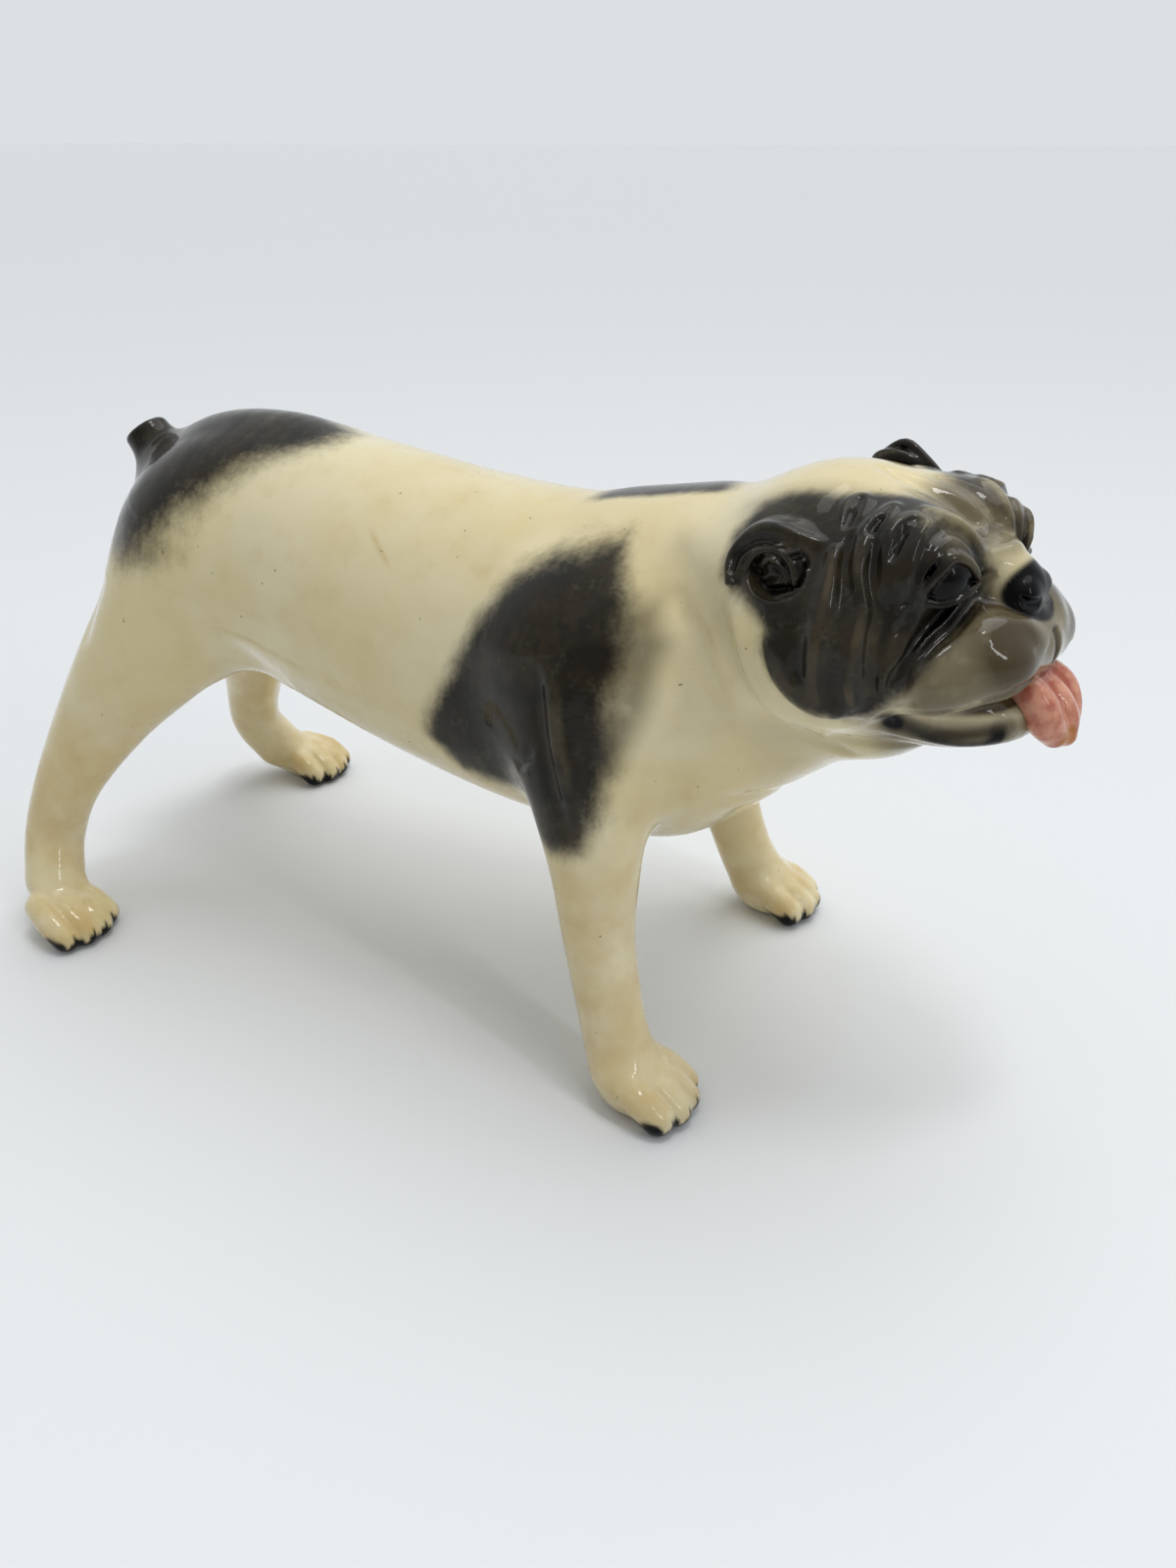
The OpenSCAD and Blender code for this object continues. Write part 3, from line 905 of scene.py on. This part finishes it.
class Nodes:
    """The shader nodes of one material, made and linked together."""

    def __init__(self, name):
        self.material = bpy.data.materials.new(name)
        self.material.use_nodes = True
        self.tree = self.material.node_tree
        self.shader = self.tree.nodes["Principled BSDF"]
        coordinates = self.tree.nodes.new("ShaderNodeTexCoord").outputs["Object"]
        scaled = self.add("ShaderNodeMapping", Vector=coordinates)
        scaled.inputs["Scale"].default_value = (1000, 1000, 1000)
        self.millimetres = scaled.outputs[0]

    def feed(self, socket, value):
        if isinstance(value, bpy.types.NodeSocket):
            self.tree.links.new(value, socket)
        else:
            socket.default_value = value

    def add(self, kind, **inputs):
        node = self.tree.nodes.new(kind)
        for name, value in inputs.items():
            self.feed(node.inputs[name], value)
        return node

    def layer(self, name):
        """One of the paint layers laid on the mesh."""
        node = self.tree.nodes.new("ShaderNodeAttribute")
        node.attribute_name = name
        return node.outputs["Fac"]

    def noise(self, size, detail=2, stretch=(1, 1, 1)):
        """Noise from 0 to 1 with features of that many millimetres."""
        place = self.add("ShaderNodeMapping", Vector=self.millimetres)
        place.inputs["Scale"].default_value = tuple(s / size for s in stretch)
        return self.add("ShaderNodeTexNoise", Vector=place.outputs[0], Scale=1.0,
                        Detail=float(detail)).outputs["Fac"]

    def between(self, value, low, high, top=1.0):
        """0 below low, rising smoothly to the top value at high."""
        node = self.tree.nodes.new("ShaderNodeMapRange")
        node.interpolation_type = "SMOOTHSTEP"
        for socket, v in zip(node.inputs, (value, low, high, 0.0, top)):
            self.feed(socket, v)
        return node.outputs[0]

    def sum(self, kind, a, b):
        node = self.tree.nodes.new("ShaderNodeMath")
        node.operation = kind
        self.feed(node.inputs[0], a)
        self.feed(node.inputs[1], b)
        return node.outputs[0]

    def mix(self, share, a, b, kind="MIX"):
        node = self.tree.nodes.new("ShaderNodeMix")
        node.data_type, node.blend_type = "RGBA", kind
        for socket, v in zip((node.inputs[0], node.inputs[6], node.inputs[7]), (share, a, b)):
            self.feed(socket, v)
        return node.outputs[2]

    def gloss(self, colour, rough, bumps, coat=1.0):
        """Clear glaze over the colour. Each bump is a height and its depth in millimetres."""
        shader = self.shader
        self.feed(shader.inputs["Base Color"], colour)
        self.feed(shader.inputs["Roughness"], rough)
        shader.inputs["Specular IOR Level"].default_value = 0.06
        self.feed(shader.inputs["Coat Weight"], coat)
        shader.inputs["Coat Roughness"].default_value = 0.025
        shader.inputs["Coat IOR"].default_value = 1.32
        normal = None
        for height, depth in bumps:
            bump = self.add("ShaderNodeBump", Height=height, Distance=depth * MM)
            if normal is not None:
                self.feed(bump.inputs["Normal"], normal)
            normal = bump.outputs[0]
        self.feed(shader.inputs["Normal"], normal)
        self.feed(shader.inputs["Coat Normal"], normal)


IVORY, CREAM, STRAW = tint(216, 201, 155), tint(221, 210, 173), tint(204, 185, 134)
# The second colour here is painted shade for the creases; the third is a grey-brown haze that is also used
# as painted shade under the head and in creases
STAIN, CREASE_SHADE, HAZE_AND_SHADE = tint(188, 154, 88), tint(134, 108, 62), tint(70, 59, 38)
SOOT, UMBER, WORN, INK = tint(8, 8, 8), tint(24, 16, 8), tint(104, 92, 70), tint(0, 0, 2)


def dog_glaze():
    """Ivory earthenware, airbrushed with dark slip, under a clear glaze, with painted shade darkening its
    creases.
    """
    m = Nodes("dog_glaze")
    broad, mottle, grain = m.noise(26), m.noise(6, 3), m.noise(0.8, 3)
    streaks = m.noise(2.6, 4, (1.6, 1.6, 0.3))
    crease = m.layer("crease")
    hollow, crest = m.between(crease, 0.1, 0.6), m.between(crease, -0.1, -0.4)

    pale = m.mix(m.between(broad, 0.35, 0.65), IVORY, CREAM)
    pale = m.mix(m.between(mottle, 0.45, 0.8, 0.35), pale, STRAW)
    staining = m.sum("MULTIPLY", m.layer("yellow"), m.between(m.noise(9, 4), 0.3, 0.7, 0.7))
    pale = m.mix(staining, pale, STAIN)
    # Painted shade: the ivory darkens deep in the creases
    pale = m.mix(m.sum("MULTIPLY", hollow, 0.45), pale, CREASE_SHADE)
    haze_and_shade_share = m.sum("MULTIPLY", m.layer("grey"), m.between(mottle, -0.2, 0.5, 1.15))
    # Painted shade: the grey haze darkens deep in the creases
    haze_and_shade_share = m.sum("ADD", haze_and_shade_share, m.sum("MULTIPLY", m.layer("grey"), m.sum("MULTIPLY", hollow, 0.8)))
    pale = m.mix(haze_and_shade_share, pale, HAZE_AND_SHADE)
    speck = m.between(m.noise(1.4, 1), 0.77, 0.82, 0.6)
    pale = m.mix(speck, pale, UMBER)

    warmth = m.sum("ADD", m.sum("MULTIPLY", m.noise(9, 3), 0.6), m.sum("MULTIPLY", streaks, 0.4))
    deep = m.mix(m.between(warmth, 0.44, 0.58), SOOT, UMBER)
    thin = m.sum("MULTIPLY", m.between(m.noise(13, 3), 0.5, 0.72, 0.13), m.between(streaks, 0.2, 0.6, 1.3))
    deep = m.mix(thin, deep, WORN)
    deep = m.mix(m.sum("MULTIPLY", crest, m.between(mottle, 0.3, 0.7, 0.4)), deep, WORN)
    # Painted shade: the dark slip turns black deep in the creases
    deep = m.mix(hollow, deep, INK)
    edge = m.sum("ADD", m.layer("dark"), m.sum("MULTIPLY", m.sum("SUBTRACT", mottle, 0.5), 0.4))
    edge = m.sum("ADD", edge, m.sum("MULTIPLY", m.sum("SUBTRACT", streaks, 0.5), 0.3))
    edge = m.sum("ADD", edge, m.sum("MULTIPLY", m.sum("SUBTRACT", grain, 0.5), 0.2))
    colour = m.mix(m.between(edge, 0.05, 1.0, 0.985), pale, deep)
    colour = m.mix(m.layer("black"), colour, INK)

    rough = m.between(mottle, 0.3, 0.8, 0.2)
    painted = m.sum("MAXIMUM", m.sum("MULTIPLY", m.layer("black"), 0.6),
                    m.sum("MULTIPLY", m.layer("dark"), 0.35))
    m.gloss(colour, m.sum("ADD", rough, 0.25), [(m.noise(14), 0.35), (m.noise(2.6, 3), 0.03),
        (grain, 0.006)],
            m.sum("SUBTRACT", 1.0, painted))
    return m.material


PINK, ROSE, AMBER = tint(206, 148, 122), tint(168, 92, 74), tint(170, 104, 28)


def tongue_glaze():
    """Pink slip, mottled with rose, with painted shade in the groove and amber at the tip."""
    m = Nodes("tongue_glaze")
    mottle = m.noise(3, 4)
    colour = m.mix(m.between(mottle, 0.35, 0.7), PINK, ROSE)
    # Painted shade: the groove of the tongue is made deep rose
    colour = m.mix(m.between(m.layer("crease"), 0.0, 0.5), colour, ROSE)
    tip = m.sum("MULTIPLY", m.layer("amber"), m.between(mottle, 0.2, 0.6))
    colour = m.mix(tip, colour, AMBER)
    m.gloss(colour, 0.25, [(m.noise(6), 0.4), (mottle, 0.06)])
    return m.material


# ---- The stage ----

def mesh_object(name, vertices, faces):
    mesh = bpy.data.meshes.new(name)
    mesh.from_pydata(vertices, [], faces)
    mesh.update()
    made = bpy.data.objects.new(name, mesh)
    bpy.context.scene.collection.objects.link(made)
    return made


def backdrop():
    """A wide pale floor. It fades into the tent behind the dog and ends in a horizon elsewhere."""
    half = 40.0
    floor = mesh_object("backdrop",
                        [(-half, -half, 0), (half, -half, 0), (half, half, 0), (-half, half, 0)],
                        [(0, 1, 2, 3)])
    paper = bpy.data.materials.new("backdrop_paper")
    paper.use_nodes = True
    shader = paper.node_tree.nodes["Principled BSDF"]
    shader.inputs["Base Color"].default_value = (0.73, 0.744, 0.755, 1)
    shader.inputs["Roughness"].default_value = 0.7
    shader.inputs["Specular IOR Level"].default_value = 0.1
    floor.data.materials.append(paper)


def area_light(name, place, aim, size, power, colour=(1, 1, 1)):
    data = bpy.data.lights.new(name, "AREA")
    data.shape = "RECTANGLE"
    data.size, data.size_y = size
    data.energy = power
    data.color = colour
    lamp = bpy.data.objects.new(name, data)
    lamp.location = place
    lamp.rotation_euler = (Vector(place) - Vector(aim)).to_track_quat("Z", "Y").to_euler()
    bpy.context.scene.collection.objects.link(lamp)


def sun_light(name, came_from, strength, spread):
    data = bpy.data.lights.new(name, "SUN")
    data.energy, data.angle = strength, math.radians(spread)
    lamp = bpy.data.objects.new(name, data)
    lamp.rotation_euler = Vector(came_from).to_track_quat("Z", "Y").to_euler()
    bpy.context.scene.collection.objects.link(lamp)


def lights():
    """A light tent with a broad soft sun above it and two small panels."""
    aim = ORIGIN + Vector((0, 0, 0.07))
    sun_light("tent_roof", (0.1, 0.4, 1.0), 1.05, 50)
    area_light("roof_panel", aim + Vector((0.15, -0.05, 0.85)), aim, (0.22, 0.10), 1.2)
    area_light("side_strip", aim + Vector((0.75, -0.25, 0.55)), aim, (0.05, 0.4), 0.9)
    tent()


def tent():
    """The tent's walls: bright behind the dog and overhead, dimmer on its right side."""
    world = bpy.data.worlds.new("studio")
    world.use_nodes = True
    tree = world.node_tree
    links = tree.links
    way = tree.nodes.new("ShaderNodeTexCoord").outputs["Generated"]
    lean = tree.nodes.new("ShaderNodeVectorMath")
    lean.operation = "DOT_PRODUCT"
    lean.inputs[1].default_value = (-0.15, 0.8, 0.6)
    links.new(way, lean.inputs[0])
    share = tree.nodes.new("ShaderNodeMapRange")
    share.interpolation_type = "SMOOTHSTEP"
    share.inputs["From Min"].default_value = -0.75
    share.inputs["From Max"].default_value = 0.6
    links.new(lean.outputs["Value"], share.inputs["Value"])
    wall = tree.nodes.new("ShaderNodeMix")
    wall.data_type = "RGBA"
    wall.inputs[6].default_value = (0.26, 0.26, 0.27, 1)
    wall.inputs[7].default_value = (0.722, 0.746, 0.766, 1)
    links.new(share.outputs[0], wall.inputs[0])
    links.new(wall.outputs[2], tree.nodes["Background"].inputs["Color"])
    tree.nodes["Background"].inputs["Strength"].default_value = 1.0
    bpy.context.scene.world = world


def camera():
    """The viewpoint: in front of the dog's right side, a little above it."""
    azimuth, elevation, distance = math.radians(26.6), math.radians(27.8), 0.3629
    target = ORIGIN + Vector((0.0026, 0.0768, 0))
    back = Vector((math.sin(azimuth) * math.cos(elevation),
                   -math.cos(azimuth) * math.cos(elevation), math.sin(elevation)))
    data = bpy.data.cameras.new("camera")
    data.lens, data.sensor_width = 28.1, 36
    made = bpy.data.objects.new("camera", data)
    made.location = target + back * distance
    made.rotation_euler = back.to_track_quat("Z", "Y").to_euler()
    bpy.context.scene.collection.objects.link(made)
    bpy.context.scene.camera = made


# ---- Everything together ----

def dog_pieces():
    fine = 1.0
    plan = [
        ("torso", TORSO_BOX, torso_region, 0.8, "torso", "body_glaze"),
        ("head", HEAD_BOX, head_region, 0.45, "head", "head_glaze"),
        ("ear_right", RIGHT_EAR_BOX, ear_region(-1), 0.35, "ear_right", "ear_glaze"),
        ("ear_left", LEFT_EAR_BOX, ear_region(1), 0.35, "ear_left", "ear_glaze"),
        ("tail", TAIL_BOX, tail_region, 0.6, "tail", "tail_glaze"),
    ]
    for side, word in ((-1, "right"), (1, "left")):
        plan.append(("fore_leg_" + word, side_box(FORE_BOX, side), fore_region(side), 0.6,
                     "fore_leg_" + word, "leg_glaze"))
        plan.append(("hind_leg_" + word, side_box(HIND_BOX, side), hind_region(side), 0.6,
                     "hind_leg_" + word, "leg_glaze"))
    coat = dog_glaze()
    for name, box, region, step, cad, slot in plan:
        piece = make_piece(name + "_casting", dog, region, box[0], box[1], step * fine)
        piece.data.materials.append(coat)
        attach(piece, "root")
        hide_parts(cad)
    piece = make_piece("tongue_casting", tongue_only, everywhere, TONGUE_BOX[0], TONGUE_BOX[1],
                       0.4 * fine)
    piece.data.materials.append(tongue_glaze())
    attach(piece, "root")
    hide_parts("tongue")


TORSO_BOX = ((-84, -44, 30), (112, 44, 126))
HEAD_BOX = ((70, -48, 60), (146, 42, 130))
RIGHT_EAR_BOX = ((72, -42, 96), (104, -12, 124))
LEFT_EAR_BOX = ((76, 8, 96), (112, 34, 128))
TONGUE_BOX = ((112, -26, 74), (142, 6, 98))
TAIL_BOX = ((-84, -14, 84), (-54, 16, 122))
FORE_BOX = ((34, 8, -4), (92, 60, 104))
HIND_BOX = ((-100, -2, -4), (-20, 64, 112))


def side_box(box, side):
    (x0, y0, z0), (x1, y1, z1) = box
    return ((x0, y0, z0), (x1, y1, z1)) if side > 0 else ((x0, -y1, z0), (x1, -y0, z1))


def everywhere(P):
    return np.full(P.shape[1], -1.0, np.float32)


bpy.context.scene.view_settings.view_transform = "Standard"
camera()
lights()
backdrop()
lay_folds()
dog_pieces()
